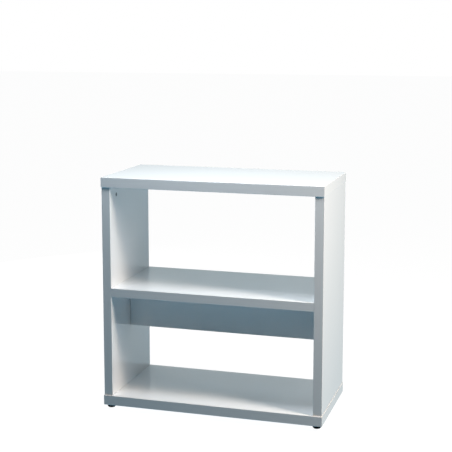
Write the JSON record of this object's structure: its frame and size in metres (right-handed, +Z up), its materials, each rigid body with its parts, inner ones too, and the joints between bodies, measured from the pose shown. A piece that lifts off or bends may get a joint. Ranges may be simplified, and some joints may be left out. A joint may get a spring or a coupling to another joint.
{
  "type": "open aquarium stand",
  "caption": "Open stand of thick white-lacquered boards for a tank: top and base boards, side panels, a fixed middle shelf, a rail under it and screw feet.",
  "frame": {"origin": "on the floor, under the middle of the stand", "axes": "+Z up, +X to the stand's right seen from the front, the front faces -Y"},
  "size_m": [0.82, 0.4, 0.86],
  "materials": {
    "white_lacquered_board": "high-gloss white lacquer on wood-based board",
    "white_edge_band": "high-gloss white edge banding",
    "zinc_casting": "dull dark die-cast zinc",
    "zinc_plated_steel": "bright zinc plating",
    "beech": "bare, fluted",
    "white_cap": "smooth moulded",
    "brass_sleeve": "machined",
    "black_pad": "fine-grained moulded",
    "grey_glide": "smooth moulded"
  },
  "bodies": {
    "carcass": {"top_panel": "white_lacquered_board", "base_panel": "white_lacquered_board", "left_side_panel": "white_lacquered_board", "right_side_panel": "white_lacquered_board", "middle_shelf": "white_lacquered_board", "stiffener_rail": "white_lacquered_board", "top_panel_edge_bands": "white_edge_band", "base_panel_edge_bands": "white_edge_band", "left_side_panel_edge_bands": "white_edge_band", "right_side_panel_edge_bands": "white_edge_band", "middle_shelf_edge_bands": "white_edge_band", "stiffener_rail_edge_band": "white_edge_band", "top_cam_locks": "zinc_casting", "shelf_cam_locks": "zinc_casting", "rail_cam_locks": "zinc_casting", "top_cam_bolts": "zinc_plated_steel", "shelf_cam_bolts": "zinc_plated_steel", "rail_cam_bolts": "zinc_plated_steel", "base_screws": "zinc_plated_steel", "top_dowels": "beech", "base_dowels": "beech", "shelf_dowels": "beech", "rail_dowels": "beech", "base_screw_caps": "white_cap", "foot_inserts": "brass_sleeve"},
    "left_front_glide": {"left_front_foot_glide": "grey_glide"},
    "left_front_foot": {"left_front_foot_pad": "black_pad", "left_front_foot_stud": "zinc_plated_steel"},
    "right_front_glide": {"right_front_foot_glide": "grey_glide"},
    "right_front_foot": {"right_front_foot_pad": "black_pad", "right_front_foot_stud": "zinc_plated_steel"},
    "left_rear_glide": {"left_rear_foot_glide": "grey_glide"},
    "left_rear_foot": {"left_rear_foot_pad": "black_pad", "left_rear_foot_stud": "zinc_plated_steel"},
    "right_rear_glide": {"right_rear_foot_glide": "grey_glide"},
    "right_rear_foot": {"right_rear_foot_pad": "black_pad", "right_rear_foot_stud": "zinc_plated_steel"}
  },
  "joints": [
    {"name": "left_front_foot_lift", "type": "slide", "parent": "carcass", "child": "left_front_glide", "axis": [0, 0, -1], "range_m": [0, 0.01]},
    {"name": "left_front_foot_turn", "type": "hinge", "parent": "left_front_glide", "child": "left_front_foot", "pos_m": [-0.388, -0.178, 0.005], "axis": [0, 0, -1], "range_deg": [0, 2880]},
    {"name": "right_front_foot_lift", "type": "slide", "parent": "carcass", "child": "right_front_glide", "axis": [0, 0, -1], "range_m": [0, 0.01]},
    {"name": "right_front_foot_turn", "type": "hinge", "parent": "right_front_glide", "child": "right_front_foot", "pos_m": [0.388, -0.178, 0.005], "axis": [0, 0, -1], "range_deg": [0, 2880]},
    {"name": "left_rear_foot_lift", "type": "slide", "parent": "carcass", "child": "left_rear_glide", "axis": [0, 0, -1], "range_m": [0, 0.01]},
    {"name": "left_rear_foot_turn", "type": "hinge", "parent": "left_rear_glide", "child": "left_rear_foot", "pos_m": [-0.388, 0.178, 0.005], "axis": [0, 0, -1], "range_deg": [0, 2880]},
    {"name": "right_rear_foot_lift", "type": "slide", "parent": "carcass", "child": "right_rear_glide", "axis": [0, 0, -1], "range_m": [0, 0.01]},
    {"name": "right_rear_foot_turn", "type": "hinge", "parent": "right_rear_glide", "child": "right_rear_foot", "pos_m": [0.388, 0.178, 0.005], "axis": [0, 0, -1], "range_deg": [0, 2880]}
  ],
  "couplings": [
    {"joint": "left_front_foot_lift", "follows": "left_front_foot_turn", "m_per_rad": 0.00019894},
    {"joint": "right_front_foot_lift", "follows": "right_front_foot_turn", "m_per_rad": 0.00019894},
    {"joint": "left_rear_foot_lift", "follows": "left_rear_foot_turn", "m_per_rad": 0.00019894},
    {"joint": "right_rear_foot_lift", "follows": "right_rear_foot_turn", "m_per_rad": 0.00019894}
  ]
}
